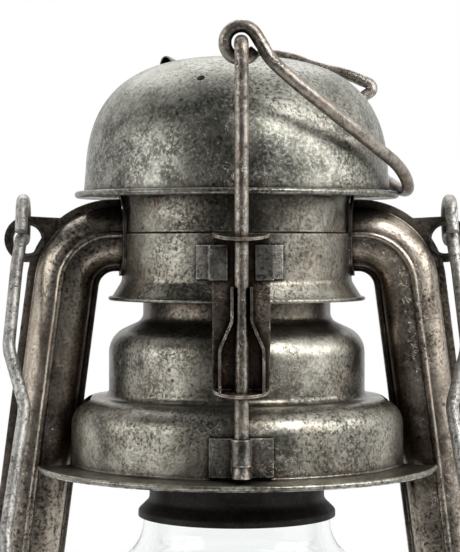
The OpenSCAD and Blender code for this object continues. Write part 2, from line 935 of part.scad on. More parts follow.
module tube_half(left, rear) {
    color(tin)
        mirror([left ? 1 : 0, 0, 0])
            front_and_rear(rear)
                difference() {
                    union() {
                        half_tube();
                        rotate([90, 0, 0]) {
                            linear_extrude(sheet)
                                ear_2d();
                            linear_extrude(sheet * 1.5)
                                ear_rim_2d();
                        }
                    }
                    translate([0, 0, skirt_z])
                        cylinder(h = chimney_h, r = chimney_r + fit_gap);
                    translate([0, 0, tank_top_z - 5])
                        cylinder(h = chamber_h + 10, r = chamber_r + fit_gap);
                    translate([0, 0, tank_top_z - 5])
                        cylinder(h = chamber_foot_z + sheet - tank_top_z + 5, r = chamber_foot_r + fit_gap);
                }
}

module left_tube_front() tube_half(true, false);
module left_tube_back() tube_half(true, true);
module right_tube_front() tube_half(false, false);
module right_tube_back() tube_half(false, true);

// Soldered flange where a tube meets the chimney
module tube_collar(left) {
    collar_w = 1.2;
    outer = [tube_d + tube_rib_r + 2 * collar_w, tube_w + 2 * collar_w];
    inner = [tube_d + 2 * (tube_rib_r + fit_gap), tube_w + 2 * fit_gap];
    color(dark_tin)
        mirror([left ? 1 : 0, 0, 0])
            intersection() {
                difference() {
                    translate([0, 0, skirt_z])
                        cylinder(h = chimney_h, r = chimney_r + fit_gap + sheet);
                    translate([0, 0, skirt_z - 1])
                        cylinder(h = chimney_h + 2, r = chimney_r + fit_gap);
                }
                translate([0, 0, tube_top_z])
                    rotate([90, 0, 90])
                        linear_extrude(2 * chimney_r)
                            difference() {
                                polygon(round_rect(outer.x, outer.y, tube_round));
                                polygon(round_rect(inner.x, inner.y, tube_round - 1));
                            }
            }
}

module left_tube_collar() tube_collar(true);
module right_tube_collar() tube_collar(false);

// Centre of the straight part of the right-hand tube at height z
function tube_x(z) = tube_top_x + (tube_top_z - z) * tan(tube_lean);

// Wire that guards the globe, bent from tube to tube
module guard(rear) {
    z = globe_z + globe_h * 0.48;
    r = guard_wire_d / 2;
    end_x = tube_x(z) - 1.5;
    end_y = tube_half_d + rib_h + fit_gap + r;
    mid_x = globe_r * 0.58;
    mid_y = globe_r + r + 2.2;
    seat_half = 3.5;
    seat_bend = 8;
    front_bend = 30;
    color(bright_wire)
        front_and_rear(rear)
            wire([
                [-end_x - seat_half, -end_y, z],
                [-end_x + seat_half, -end_y, z, seat_bend],
                [-mid_x, -mid_y, z, front_bend],
                [mid_x, -mid_y, z, front_bend],
                [end_x - seat_half, -end_y, z, seat_bend],
                [end_x + seat_half, -end_y, z]
            ], r);
}

module front_guard() guard(false);
module rear_guard() guard(true);

// Globe plate and lift

function plate_profile() = rounded([
    [flange_r, flange_z, 0],
    [lower_bulge_r, lower_z, 0.6],
    [lower_bulge_r, lower_top_z, 7],
    [upper_bulge_r, lower_top_z, 2],
    [upper_bulge_r, upper_top_z - shoulder_drop, 7.2],
    [plate_neck_r, upper_top_z, 3],
    [plate_neck_r, upper_top_z + plate_neck_h, 0]
]);

// Space that the plate leaves for the tubes over its whole travel
module tube_recess(grow = 0) {
    clear = 0.8;
    inner_x = tube_x(lower_top_z + lift_travel) - tube_half_w / cos(tube_lean) - clear - grow;
    half_d = tube_half_d + tube_rib_r + clear + grow;
    deep = flange_r;
    for (side = [0, 1])
        mirror([side, 0, 0])
            translate([inner_x, -half_d, flange_z - deep / 2])
                cube([deep, 2 * half_d, deep]);
}

// Solid under a profile, down to z
module under(profile, z) {
    rotate_extrude()
        polygon(concat([[0, z], [profile[0].x, z]], profile, [[0, profile[len(profile) - 1].y]]));
}

module globe_plate() {
    outer = plate_profile();
    inner = beside(outer, sheet);
    rim_r = bead_r * 0.75;
    low_z = flange_z - 2 * rim_r;
    color(tin)
        difference() {
            union() {
                difference() {
                    under(outer, low_z);
                    tube_recess();
                }
                difference() {
                    ring(flange_r, flange_z - sheet / 2, rim_r);
                    tube_recess();
                }
            }
            difference() {
                under(inner, low_z - 1);
                tube_recess(sheet);
            }
            translate([0, 0, low_z - 1])
                cylinder(h = flange_z - sheet - low_z + 1, r = flange_r - 2);
            translate([0, 0, upper_top_z])
                cylinder(h = plate_neck_h + 1, r = plate_neck_r - sheet);
        }
}

module globe_collar() {
    disc_r = lower_bulge_r + 0.6;
    disc_z = lower_z - 2 * sheet - 0.25;
    lip_r = globe_top_r + 2 * running_gap + sheet;
    lip_h = 3.3;
    color(soot)
        difference() {
            pressing(rounded([
                [lip_r, collar_z, 0],
                [lip_r, globe_top_z + running_gap, 1.2],
                [collar_r, globe_top_z + lip_h, 2.5],
                [collar_r, disc_z, 1],
                [disc_r, disc_z, 0]
            ]));
            tube_recess(sheet + fit_gap);
        }
}

module lift_rod(rear) {
    foot_z = clip_z + 2 * fit_gap;
    foot_h = clip_notch_h - 4 * fit_gap;
    flare = 0.6;
    hook_bend = 3.2;
    hook_l = 10;
    color(bright_wire)
        front_and_rear(rear) {
            translate([0, -rod_y, foot_z])
                cylinder(h = foot_h, r1 = rod_r + flare, r2 = rod_r + flare / 4);
            wire([
                [0, -rod_y, foot_z + foot_h],
                [0, -rod_y, hook_z, hook_bend],
                [0, -rod_y + hook_l, hook_z]
            ], rod_r);
        }
}

module front_lift_rod() lift_rod(false);
module rear_lift_rod() lift_rod(true);

// Plate soldered on the lower bulge, with a channel that holds the rod
module rod_clip(rear) {
    seat_r = lower_bulge_r + fit_gap;
    channel_r = rod_r + fit_gap;
    wall_x = channel_r + sheet * 0.75;
    notch_r = channel_r + 2 * sheet;
    color(tin)
        front_and_rear(rear)
            difference() {
                translate([0, 0, clip_z]) {
                    intersection() {
                        cylinder(h = clip_h, r = seat_r + sheet);
                        translate([-clip_half_w, -2 * seat_r, 0])
                            cube([2 * clip_half_w, 2 * seat_r, clip_h]);
                    }
                    translate([0, -rod_y, 0])
                        cylinder(h = clip_h, r = wall_x);
                    translate([-wall_x, -rod_y, 0])
                        cube([2 * wall_x, rod_y - seat_r + sheet, clip_h]);
                }
                translate([0, 0, clip_z - 1])
                    cylinder(h = clip_h + 2, r = seat_r);
                translate([0, -rod_y, clip_z - 1]) {
                    cylinder(h = clip_h + 2, r = channel_r);
                    translate([-channel_r, 0, 0])
                        cube([2 * channel_r, rod_y, clip_h + 2]);
                    cylinder(h = clip_notch_h + 1, r = notch_r);
                }
            }
}

module front_rod_clip() rod_clip(false);
module rear_rod_clip() rod_clip(true);

// Half-round tab that guides the rod, drooping from its root at the plate
module guide_tab(z) {
    translate([0, -guide_y - sheet / 2, z - sheet])
        rotate([tab_droop, 0, 0])
            linear_extrude(sheet)
                intersection() {
                    translate([0, guide_half_w - tab_l])
                        circle(r = guide_half_w);
                    translate([-guide_half_w, -tab_l])
                        square([2 * guide_half_w, tab_l]);
                }
}

module guide(rear) {
    color(tin)
        front_and_rear(rear)
            difference() {
                union() {
                    translate([-guide_half_w, -guide_front_y, guide_low_z - sheet])
                        cube([2 * guide_half_w, sheet, guide_top_z - guide_low_z + sheet]);
                    guide_tab(guide_low_z);
                    guide_tab(guide_top_z);
                }
                translate([0, -rod_y, clip_top_z])
                    cylinder(h = hook_z - clip_top_z, r = rod_r + running_gap);
            }
}

module front_guide() guide(false);
module rear_guide() guide(true);

// Strap on the chimney, with two ears folded over the guide
module guide_saddle(rear) {
    low = skirt_z + skirt_h + 1;
    h = guide_top_z - low - 3;
    wall_x = guide_half_w + fit_gap;
    front_y = guide_front_y + fit_gap;
    wing_w = 4;
    ear_w = 4.6;
    color(tin)
        front_and_rear(rear)
            difference() {
                union() {
                    intersection() {
                        translate([0, 0, low])
                            cylinder(h = h, r = chimney_r + fit_gap + sheet);
                        translate([-wall_x - wing_w, -2 * chimney_r, low])
                            cube([2 * (wall_x + wing_w), 2 * chimney_r, h]);
                    }
                    for (side = [0, 1])
                        mirror([side, 0, 0]) {
                            translate([wall_x, -front_y - sheet, low])
                                cube([sheet, front_y + sheet, h]);
                            translate([wall_x + sheet - ear_w, -front_y - sheet, low])
                                cube([ear_w, sheet, h]);
                        }
                }
                translate([0, 0, low - 1])
                    cylinder(h = h + 2, r = chimney_r + fit_gap);
            }
}

module front_guide_saddle() guide_saddle(false);
module rear_guide_saddle() guide_saddle(true);

// Bottle-shaped friction spring that grips the rod and stands on the lower tab
module guide_spring(rear) {
    strip = 0.7;
    half_d = rod_y - guide_front_y - fit_gap;
    neck_x = rod_r + running_gap + strip;
    foot_x = guide_half_w - 2 * strip;
    shoulder = 5;
    side = rounded([
        [foot_x, -tab_fall, 0],
        [foot_x, spring_body_h, shoulder],
        [neck_x, spring_neck_z, shoulder],
        [neck_x, spring_h, 0]
    ]);
    color(bright_wire)
        front_and_rear(rear)
            difference() {
                translate([0, half_d - rod_y, guide_low_z])
                    for (m = [0, 1])
                        mirror([m, 0, 0])
                            rotate([90, 0, 0])
                                linear_extrude(2 * half_d)
                                    polygon(band(side, strip));
                translate([-guide_half_w, -guide_y - sheet / 2, guide_low_z])
                    rotate([tab_droop, 0, 0])
                        translate([0, -rod_y, fit_gap - spring_h])
                            cube([2 * guide_half_w, rod_y, spring_h]);
            }
}

module front_guide_spring() guide_spring(false);
module rear_guide_spring() guide_spring(true);

// Point of the bow beside the hood, at heading turn from +X and at a share of the hood's height
function bow_at(turn, out, rise, bend) =
    [(hood_r + out) * cos(turn), (hood_r + out) * sin(turn), rise * hood_h, bend];

// Wire bow that lifts the plate: from the front eye over the hood's right side to the rear eye
module lift_bow() {
    r = bow_wire_d / 2;
    eye = rod_r + running_gap + r;
    eye_r = eye - 0.2;
    tip_y = rod_y - rod_r - running_gap - r;
    rest = (brim_z + bead_r + r - 0.2 - hook_z) / hood_h;
    color(bright_wire)
        translate([0, 0, hook_z])
            wire([
                [eye, -tip_y, 0.5],
                [eye, -tip_y, -eye, eye_r],
                [-eye, -tip_y + 0.4, -eye, eye_r],
                [-eye, -tip_y + 1, eye, eye_r],
                [6.8, -tip_y + 2, eye, 3.6],
                [9.2, -tip_y + 2.6, -5.4, 6],
                bow_at(-68, 1.1, -0.26, 14),
                bow_at(-43, 1.9, -0.543, 40),
                bow_at(-19.6, 4.3, -0.777, 12),
                bow_at(-8.8, 3.9, rest + 0.021, 4),
                bow_at(2.6, 2.6, rest, 12),
                bow_at(22, 3.3, rest + 0.04, 14),
                bow_at(40, 6.3, -0.612, 12),
                bow_at(44.9, 11.9, -0.293, 12),
                bow_at(45.7, 13.9, -0.146, 4),
                bow_at(56.3, 8.5, 0.064, 30),
                [12, tip_y - 2, 6.2, 12],
                [5.6, tip_y - 1.6, eye, 6],
                [-eye, tip_y - 1, eye, eye_r],
                [-eye, tip_y - 0.4, -eye, eye_r],
                [eye, tip_y, -eye, eye_r],
                [eye, tip_y, 0.5]
            ], r);
}

// Bail, hooked through the ears and hanging forward
module bail() {
    x = ear_at.x;
    hook_x = x + 1.2;
    front_y = -4.9;
    back_y = 4.2;
    leg_y = -1.3;
    top = 5.6;
    low = -5.2;
    route = [
        [hook_x, front_y, low - 0.2, 0],
        [hook_x, front_y, top, 4.4],
        [hook_x, back_y, top, 4.4],
        [hook_x, back_y, low, 3.2],
        [hook_x + 0.2, leg_y, low, 2.2],
        [x + 2.4, leg_y, -14, 30],
        [x + 3.8, leg_y, -38, 12],
        [x - 1.2, leg_y, -54.5, 10],
        [x + 6.6, leg_y, -bail_l, 34]
    ];
    color(bright_wire)
        translate([0, 0, bail_axis_z])
            rotate([-bail_tilt, 0, 0])
                wire(concat(route, [for (q = reversed(route)) [-q.x, q.y, q.z, q[3]]]), bail_r);
}

tank_bottom();
tank_top();
filler_neck();
air_chamber();
burner_collar();
left_tube_front();
left_tube_back();
right_tube_front();
right_tube_back();
left_tube_collar();
right_tube_collar();
chimney();
chimney_floor();
inner_flue();
hood();
hood_stays();
front_guide();
rear_guide();
front_guide_saddle();
rear_guide_saddle();
front_guide_spring();
rear_guide_spring();
front_guard();
rear_guard();
burner_plate();
burner_cone();
wick_tube();
globe();
globe_plate();
globe_collar();
front_lift_rod();
rear_lift_rod();
front_rod_clip();
rear_rod_clip();
lift_bow();
bail();
wick_shaft();
wick_knob();
wick();
cap_gasket();
filler_cap();
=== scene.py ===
"""Old tin hurricane lantern: materials, small fittings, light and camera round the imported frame."""
import json
import math

import bmesh
import bpy
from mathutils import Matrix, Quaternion, Vector
from mathutils.bvhtree import BVHTree


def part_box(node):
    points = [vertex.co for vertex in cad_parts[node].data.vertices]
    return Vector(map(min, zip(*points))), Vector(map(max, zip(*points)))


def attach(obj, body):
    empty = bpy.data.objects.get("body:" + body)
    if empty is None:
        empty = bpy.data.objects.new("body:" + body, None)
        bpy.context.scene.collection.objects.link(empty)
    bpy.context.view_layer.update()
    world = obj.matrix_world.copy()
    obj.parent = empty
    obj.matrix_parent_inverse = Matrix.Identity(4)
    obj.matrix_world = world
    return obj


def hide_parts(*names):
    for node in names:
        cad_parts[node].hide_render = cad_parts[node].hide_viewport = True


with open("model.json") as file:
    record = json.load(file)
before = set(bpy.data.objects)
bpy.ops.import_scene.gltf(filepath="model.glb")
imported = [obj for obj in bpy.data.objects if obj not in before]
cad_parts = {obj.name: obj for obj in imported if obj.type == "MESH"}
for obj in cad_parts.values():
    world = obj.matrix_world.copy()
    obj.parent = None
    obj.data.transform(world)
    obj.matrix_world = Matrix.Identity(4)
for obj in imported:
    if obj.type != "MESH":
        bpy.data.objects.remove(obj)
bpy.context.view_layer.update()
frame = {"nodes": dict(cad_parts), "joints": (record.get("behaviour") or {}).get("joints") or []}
scene = bpy.context.scene
nodes = frame["nodes"]
MM = 0.001
WHITE = (1, 1, 1)
BLACK = (0.012, 0.011, 0.01)

# Camera: in front of the lantern and a little to the left, level with the chimney

CAMERA_REACH, CAMERA_Z = 0.517, 0.212
CAMERA_NEAR = 0.01
HEADING = math.radians(-1.4)
SENSOR_MM = 36
# The photograph's size, focal length, horizon and lantern axis, in pixels
IMAGE_W, IMAGE_H = 460, 552
FOCAL_PX = 1860
HORIZON_Y, AXIS_X = 245, 236.8


def make_camera():
    """The frame is upright, so the sensor's width lies along the image's height."""
    data = bpy.data.cameras.new("camera")
    data.sensor_width = SENSOR_MM
    data.lens = FOCAL_PX / IMAGE_H * SENSOR_MM
    data.clip_start = CAMERA_NEAR
    camera = bpy.data.objects.new("camera", data)
    scene.collection.objects.link(camera)
    camera.location = (CAMERA_REACH * math.sin(HEADING), -CAMERA_REACH * math.cos(HEADING), CAMERA_Z)
    pitch = math.atan((IMAGE_H / 2 - HORIZON_Y) / FOCAL_PX)
    yaw = math.atan((AXIS_X - IMAGE_W / 2) / FOCAL_PX)
    camera.rotation_euler = (math.pi / 2 - pitch, 0, yaw + HEADING)
    scene.camera = camera


make_camera()

# Light: four soft lamps, turned to the lantern's chimney

LAMP_AIM = Vector((0, 0, 0.2))


def area_light(name, at, size, power):
    data = bpy.data.lights.new(name, "AREA")
    data.shape = "RECTANGLE"
    data.size, data.size_y = size
    data.energy = power
    lamp = bpy.data.objects.new(name, data)
    scene.collection.objects.link(lamp)
    lamp.location = at
    lamp.rotation_euler = (LAMP_AIM - Vector(at)).to_track_quat("-Z", "Y").to_euler()


scene.view_settings.view_transform = "Standard"
area_light("key", at=(0.5, -0.62, 0.85), size=(0.4, 0.4), power=6)
area_light("right", at=(0.9, -0.3, 0.6), size=(0.8, 0.5), power=4.5)
area_light("left", at=(-0.9, -0.4, 0.42), size=(0.8, 0.5), power=3.5)
area_light("back", at=(-0.1, 0.6, 0.95), size=(0.9, 0.6), power=4)

# Shader trees


class Graph:
    """Short names for the nodes of one shader tree."""

    OCCLUSION_SAMPLES = 6
    BEVEL_SAMPLES = 4
    FLAT, SHARP = 0.985, 0.86

    def __init__(self, tree):
        self.tree = tree
        self.tree.nodes.clear()

    def node(self, kind, **settings):
        n = self.tree.nodes.new(kind)
        for key, value in settings.items():
            setattr(n, key, value)
        return n

    def put(self, socket, value):
        """Links another node's socket, or sets a number or colour."""
        if isinstance(value, bpy.types.NodeSocket):
            self.tree.links.new(value, socket)
        elif value is not None:
            if socket.type == "RGBA" and len(value) == 3:
                value = (*value, 1)
            socket.default_value = value

    def coords(self, stretch=(1, 1, 1), move=(0, 0, 0)):
        mapping = self.node("ShaderNodeMapping")
        self.put(mapping.inputs["Vector"], self.node("ShaderNodeTexCoord").outputs["Object"])
        self.put(mapping.inputs["Scale"], stretch)
        self.put(mapping.inputs["Location"], move)
        return mapping.outputs[0]

    def axes(self, vector):
        """The three numbers of a vector, by the names X, Y and Z."""
        n = self.node("ShaderNodeSeparateXYZ")
        self.put(n.inputs[0], vector)
        return n.outputs

    def noise(self, where, scale, detail, rough, distortion=0):
        n = self.node("ShaderNodeTexNoise")
        self.put(n.inputs["Vector"], where)
        self.put(n.inputs["Scale"], scale)
        self.put(n.inputs["Detail"], detail)
        self.put(n.inputs["Roughness"], rough)
        self.put(n.inputs["Distortion"], distortion)
        return n.outputs[0]

    def cells(self, where, scale):
        n = self.node("ShaderNodeTexVoronoi")
        self.put(n.inputs["Vector"], where)
        self.put(n.inputs["Scale"], scale)
        return n.outputs["Distance"]

    def span(self, value, low, high, to_low=0, to_high=1):
        """A smooth step from to_low, where the value is low, to to_high, where it is high."""
        n = self.node("ShaderNodeMapRange", interpolation_type="SMOOTHSTEP")
        self.put(n.inputs["Value"], value)
        self.put(n.inputs["From Min"], low)
        self.put(n.inputs["From Max"], high)
        self.put(n.inputs["To Min"], to_low)
        self.put(n.inputs["To Max"], to_high)
        return n.outputs[0]

    def math(self, operation, a, b=None):
        n = self.node("ShaderNodeMath", operation=operation)
        self.put(n.inputs[0], a)
        self.put(n.inputs[1], b)
        return n.outputs[0]

    def mix(self, factor, a, b):
        n = self.node("ShaderNodeMix", data_type="RGBA")
        self.put(n.inputs[0], factor)
        self.put(n.inputs[6], a)
        self.put(n.inputs[7], b)
        return n.outputs[2]

    def cover(self, colour, mask, share, coat):
        """Lays a coat over a colour where the mask is, at a share of its strength."""
        return self.mix(self.math("MULTIPLY", mask, share), colour, coat)

    def occlusion(self, distance):
        n = self.node("ShaderNodeAmbientOcclusion", samples=self.OCCLUSION_SAMPLES)
        self.put(n.inputs["Distance"], distance)
        return n.outputs["AO"]

    def edges(self, radius):
        """1 on sharp edges, 0 on flat ground: how far a rounded normal leans from the true one."""
        bevel = self.node("ShaderNodeBevel", samples=self.BEVEL_SAMPLES)
        self.put(bevel.inputs["Radius"], radius)
        dot = self.node("ShaderNodeVectorMath", operation="DOT_PRODUCT")
        self.put(dot.inputs[0], bevel.outputs[0])
        self.put(dot.inputs[1], self.node("ShaderNodeNewGeometry").outputs["Normal"])
        return self.span(dot.outputs["Value"], self.FLAT, self.SHARP)

    def bump(self, height, strength, depth, normal=None):
        n = self.node("ShaderNodeBump")
        self.put(n.inputs["Strength"], strength)
        self.put(n.inputs["Distance"], depth)
        self.put(n.inputs["Height"], height)
        self.put(n.inputs["Normal"], normal)
        return n.outputs[0]

    def shader(self, kind, **inputs):
        n = self.node(kind)
        for key, value in inputs.items():
            self.put(n.inputs[key.replace("_", " ")], value)
        return n.outputs[0]

    def blend(self, factor, a, b):
        """One shader turning into another."""
        n = self.node("ShaderNodeMixShader")
        self.put(n.inputs[0], factor)
        self.put(n.inputs[1], a)
        self.put(n.inputs[2], b)
        return n.outputs[0]

    def output(self, shader, kind="ShaderNodeOutputMaterial"):
        self.put(self.node(kind).inputs["Surface"], shader)

    def surface(self, **inputs):
        self.output(self.shader("ShaderNodeBsdfPrincipled", **inputs))


def new_material(name):
    material = bpy.data.materials.new(name)
    material.use_nodes = True
    return material, Graph(material.node_tree)


# World: white behind the lantern and at its sides, a darker room in front of it

ROOM_LEAN_X, ROOM_LEAN_Z = 0.42, -0.3
ROOM_FRONT, ROOM_SIDE = -0.8, 0.05
ROOM_DARK, ROOM_PALE = 0.05, 1.0
ROOM_LIGHT = 0.55


def make_world():
    world = bpy.data.worlds.new("studio")
    scene.world = world
    world.use_nodes = True
    g = Graph(world.node_tree)
    axes = g.axes(g.node("ShaderNodeTexCoord").outputs["Generated"])
    aside = g.math("ADD", axes["Y"], g.math("MULTIPLY", axes["X"], ROOM_LEAN_X))
    aside = g.math("ADD", aside, g.math("MULTIPLY", axes["Z"], ROOM_LEAN_Z))
    room = g.span(aside, ROOM_FRONT, ROOM_SIDE, ROOM_DARK, ROOM_PALE)
    rays = g.node("ShaderNodeLightPath").outputs
    lighting = g.shader("ShaderNodeBackground", Color=room, Strength=ROOM_LIGHT)
    mirrored = g.shader("ShaderNodeBackground", Color=room, Strength=1)
    white = g.shader("ShaderNodeBackground", Color=WHITE, Strength=1)
    around = g.blend(rays["Is Glossy Ray"], lighting, mirrored)
    seen = g.math("MAXIMUM", rays["Is Camera Ray"], rays["Is Transmission Ray"])
    g.output(g.blend(seen, around, white), "ShaderNodeOutputWorld")


make_world()

# Floor: a pale disc that fades into the white, and keeps the shadow

FLOOR_R = 0.6
FLOOR_SIDES = 96
FADE_START, FADE_END = FLOOR_R * 0.35, FLOOR_R * 0.97
FLOOR_COLOUR = (0.93, 0.93, 0.92)
FLOOR_GLOW = 0.5


def make_floor():
    mesh = bpy.data.meshes.new("floor")
    bm = bmesh.new()
    bmesh.ops.create_circle(bm, cap_ends=True, segments=FLOOR_SIDES, radius=FLOOR_R)
    bm.to_mesh(mesh)
    bm.free()
    floor = bpy.data.objects.new("floor", mesh)
    scene.collection.objects.link(floor)
    material, g = new_material("floor")
    mesh.materials.append(material)
    far = g.node("ShaderNodeVectorMath", operation="LENGTH")
    g.put(far.inputs[0], g.coords())
    fade = g.span(far.outputs["Value"], FADE_START, FADE_END)
    rays = g.node("ShaderNodeLightPath").outputs
    seen = g.math("MAXIMUM", rays["Is Camera Ray"], rays["Is Transmission Ray"])
    seen = g.math("MAXIMUM", seen, rays["Is Glossy Ray"])
    paper = g.shader("ShaderNodeBsdfDiffuse", Color=FLOOR_COLOUR)
    glow = g.shader("ShaderNodeEmission", Color=WHITE)
    lit = g.blend(g.math("MULTIPLY", seen, FLOOR_GLOW), paper, glow)
    g.output(g.blend(fade, lit, g.shader("ShaderNodeBsdfTransparent")))


make_floor()

# Old metal: bare sheet or wire gone dull

DUST = (0.36, 0.362, 0.315)
RUST = (0.2, 0.075, 0.028)
BROWN = (0.2, 0.13, 0.085)
# How fine each kind of mark is, as the scale of its noise
DENTS, FLAKE_PATCHES, RUST_SPOTS, RUST_CREEP = 55, 90, 170, 260
FLAKES, WEAR, SWIRLS, GRAIN = 310, 420, 430, 1150
# How much finer than the clouds these noises are
PATCH_FINE, TINT_FINE, CURL_FINE, PEPPER_FINE, DULL_FINE = 4.2, 1.5, 2.3, 0.9, 7
# How far painted shade and dirt reach from seams and contacts, how wide an edge wears, how deep dents go
SEAM_SHADE_REACH, CONTACT_SHADE_REACH = 3.2 * MM, 1.2 * MM
EDGE_R = 0.7 * MM
DENT_DEPTH = 2.5 * MM
# How strongly each coat covers what is under it
PATCH_SHARE, TINT_SHARE, FLAKE_SHARE, SEAM_SHADE_SHARE, CONTACT_SHADE_SHARE = 0.5, 0.6, 0.75, 0.9, 0.95
# What curls, clouds, spots and dust add to the roughness, and how far curls and dents stand out
CURL_DULL, CLOUD_DULL, SPOT_DULL, DUST_DULL = 0.5, 0.3, 0.5, 0.5
CURL_SUNK, GRAIN_BUMP, DENT_BUMP = 0.5, 0.5, 0.25
# Dirt and painted shade in corners are this much darker than the stain, and worn metal this much brighter
# than the light tone
DIRT_AND_SHADE_TONE = 0.22
WORN_GAIN, WORN_LIFT = 1.7, 0.12


def clouded_tones(g, where, cloud, tones, stain, stain_share):
    """Clouds of dark and middle tone, lighter patches and a tint of stain; gives the clouds too."""
    dark, mid, light = tones
    clouds = g.span(g.noise(where, cloud, 5, 0.6, 0.4), 0.36, 0.66)
    patches = g.span(g.noise(where, cloud * PATCH_FINE, 6, 0.65, 0.3), 0.4, 0.64)
    tint = g.span(g.noise(where, cloud * TINT_FINE, 4, 0.6, 0.8), 0.5, 0.7)
    colour = g.mix(clouds, dark, mid)
    colour = g.cover(colour, patches, PATCH_SHARE, light)
    colour = g.cover(colour, tint, stain_share * TINT_SHARE, stain)
    return colour, clouds


def leathery_curls(g, where, cloud):
    """Thin curled lines, in some places only."""
    swirl = g.noise(where, SWIRLS, 4, 0.6, 0.8)
    lines = g.span(g.math("ABSOLUTE", g.math("SUBTRACT", swirl, 0.5)), 0, 0.032, 1, 0)
    return g.math("MULTIPLY", lines, g.span(g.noise(where, cloud * CURL_FINE, 3, 0.5), 0.44, 0.62))


def settled_dust(g, grain, dust):
    """Dust on what faces up, broken by the grain."""
    facing = g.axes(g.node("ShaderNodeNewGeometry").outputs["Normal"])
    level = g.span(facing["Z"], 0.15, 0.95)
    broken = g.span(grain, 0.62, 0.42, 0.45, 1)
    return g.math("MULTIPLY", g.math("MULTIPLY", level, broken), dust)


def dark_pepper(g, where, cloud, grain):
    """Dark specks of the grain, thicker in some places."""
    thick = g.span(g.noise(where, cloud * PEPPER_FINE, 3, 0.5), 0.4, 0.6, 0.35, 1)
    return g.math("MULTIPLY", g.span(grain, 0.52, 0.6), thick)


def lost_flakes(g, where):
    """Small pits where the surface has flaked off."""
    pits = g.span(g.cells(where, FLAKES), 0.24, 0.1)
    return g.math("MULTIPLY", pits, g.span(g.noise(where, FLAKE_PATCHES, 3, 0.5), 0.5, 0.62))


def rust_marks(g, where, shaded_corners):
    """Scattered rust, and rust that creeps out of the corners."""
    spots = g.span(g.noise(where, RUST_SPOTS, 5, 0.7), 0.64, 0.74)
    creep = g.math("MULTIPLY", shaded_corners, g.span(g.noise(where, RUST_CREEP, 4, 0.65), 0.5, 0.62))
    return g.math("MAXIMUM", spots, creep)


def worn_edges(g, where):
    """Sharp edges that are rubbed bright in places."""
    return g.math("MULTIPLY", g.edges(EDGE_R), g.span(g.noise(where, WEAR, 3, 0.6), 0.35, 0.6))


def old_metal(
    name, tones, stain=BROWN, stain_share=0.5, cloud=38, curl=0.5, speck=0.72, salt_share=0.45,
    grime_and_shade=0.75, grime_and_shade_reach=13 * MM, edge=0.6, dust=0, rust=0.3,
    rough=(0.27, 0.46), move=(0, 0, 0), metallic=0.93, depth=0.15 * MM,
):
    """Clouded tones, then salt, dust, dark marks, painted shade and dirt in corners and seams, rust and
    worn edges.
    """
    material, g = new_material(name)
    light = tones[-1]
    where = g.coords(move=move)
    grain = g.noise(where, GRAIN, 3, 0.7)
    curls = leathery_curls(g, where, cloud)
    colour, clouds = clouded_tones(g, where, cloud, tones, stain, stain_share)
    colour = g.cover(colour, g.span(grain, 0.48, 0.38), speck * salt_share, light)
    spots = g.noise(where, cloud * DULL_FINE, 4, 0.6)
    dull = g.math("ADD", g.math("MULTIPLY", curls, CURL_DULL), g.math("MULTIPLY", clouds, CLOUD_DULL))
    dull = g.math("ADD", dull, g.math("MULTIPLY", spots, SPOT_DULL))
    shine = metallic
    if dust:
        dusty = settled_dust(g, grain, dust)
        colour = g.mix(dusty, colour, DUST)
        dull = g.math("ADD", dull, g.math("MULTIPLY", dusty, DUST_DULL))
        shine = g.math("MULTIPLY", g.math("SUBTRACT", 1, dusty), metallic)
    colour = g.cover(colour, dark_pepper(g, where, cloud, grain), speck, BLACK)
    colour = g.cover(colour, curls, curl, BLACK)
    colour = g.cover(colour, lost_flakes(g, where), FLAKE_SHARE, BLACK)
    # Painted shade: occlusion darkens corners, undersides and sides that face other parts, mixed with dirt
    # in the stain's colour
    shaded_corners = g.span(g.occlusion(grime_and_shade_reach), 0.82, 0.32)
    colour = g.cover(colour, shaded_corners, grime_and_shade, [c * DIRT_AND_SHADE_TONE for c in stain])
    # Painted shade: black in narrow seams and where parts touch, with some dirt
    colour = g.cover(colour, g.span(g.occlusion(SEAM_SHADE_REACH), 0.88, 0.5), SEAM_SHADE_SHARE, BLACK)
    colour = g.cover(colour, g.span(g.occlusion(CONTACT_SHADE_REACH), 0.92, 0.66), CONTACT_SHADE_SHARE, BLACK)
    colour = g.cover(colour, rust_marks(g, where, shaded_corners), rust, RUST)
    bright = [min(1, c * WORN_GAIN + WORN_LIFT) for c in light]
    colour = g.cover(colour, worn_edges(g, where), edge, bright)

    height = g.math("SUBTRACT", g.math("MULTIPLY", grain, -1), g.math("MULTIPLY", curls, CURL_SUNK))
    normal = g.bump(height, GRAIN_BUMP, depth)
    normal = g.bump(g.noise(where, DENTS, 2, 0.4), DENT_BUMP, DENT_DEPTH, normal)
    roughness = g.span(dull, 0.1, 0.95, *rough)
    g.surface(Base_Color=colour, Metallic=shine, Roughness=roughness, Normal=normal)
    return material


# Metals of the lantern: each palette is a dark, a middle and a light tone

TIN = [(0.085, 0.081, 0.068), (0.255, 0.242, 0.196), (0.52, 0.5, 0.43)]
HOOD_TIN = [(0.075, 0.074, 0.064), (0.22, 0.218, 0.18), (0.47, 0.463, 0.405)]
TUBE_TIN = [(0.14, 0.118, 0.096), (0.46, 0.4, 0.325), (0.72, 0.635, 0.535)]
